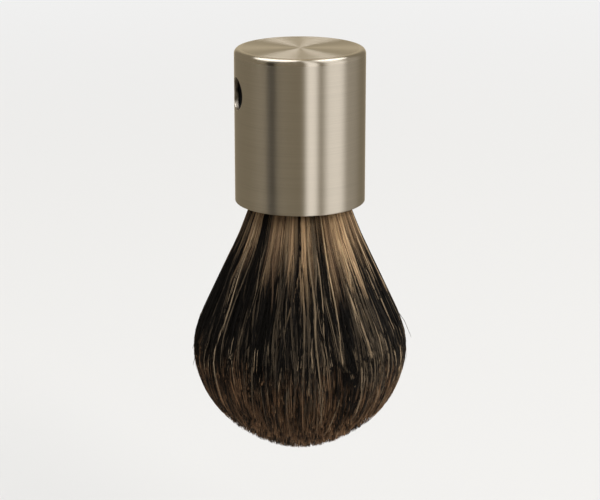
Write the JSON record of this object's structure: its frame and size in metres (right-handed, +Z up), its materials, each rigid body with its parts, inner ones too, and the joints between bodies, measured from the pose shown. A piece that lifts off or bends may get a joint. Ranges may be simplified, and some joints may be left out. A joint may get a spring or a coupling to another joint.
{
  "type": "shaving brush",
  "caption": "Shaving brush with a bulb of dark hair and a plain brushed steel cylinder handle, cross-drilled near its closed end so that it hangs hair down on a rod.",
  "frame": {"origin": "centre of the rod hole, on the handle's axis", "axes": "+Z up along the handle's axis towards its closed end, so the hair hangs towards -Z; +X along the rod hole"},
  "size_m": [0.0528, 0.052, 0.102],
  "materials": {
    "brushed_steel": "fine grain brushed round the handle, spun on the end face, warm grey",
    "core_plastic": "moulded, dark grey",
    "sleeve_plastic": "moulded, black",
    "turned_steel": "face turned, fine rings",
    "glue": "set epoxy, cloudy",
    "resin": "cast, amber",
    "thread": "waxed twisted thread",
    "hair": "badger-type hair, tan at root and tip with a wide near-black band between"
  },
  "bodies": {
    "root": {"handle_shell": "brushed_steel", "handle_core": "core_plastic", "hanger_sleeve": "sleeve_plastic", "mouth_ring": "turned_steel", "glue_bed": "glue", "knot_plug": "resin", "knot_binding": "thread", "hair_bundle": "hair"}
  },
  "joints": []
}
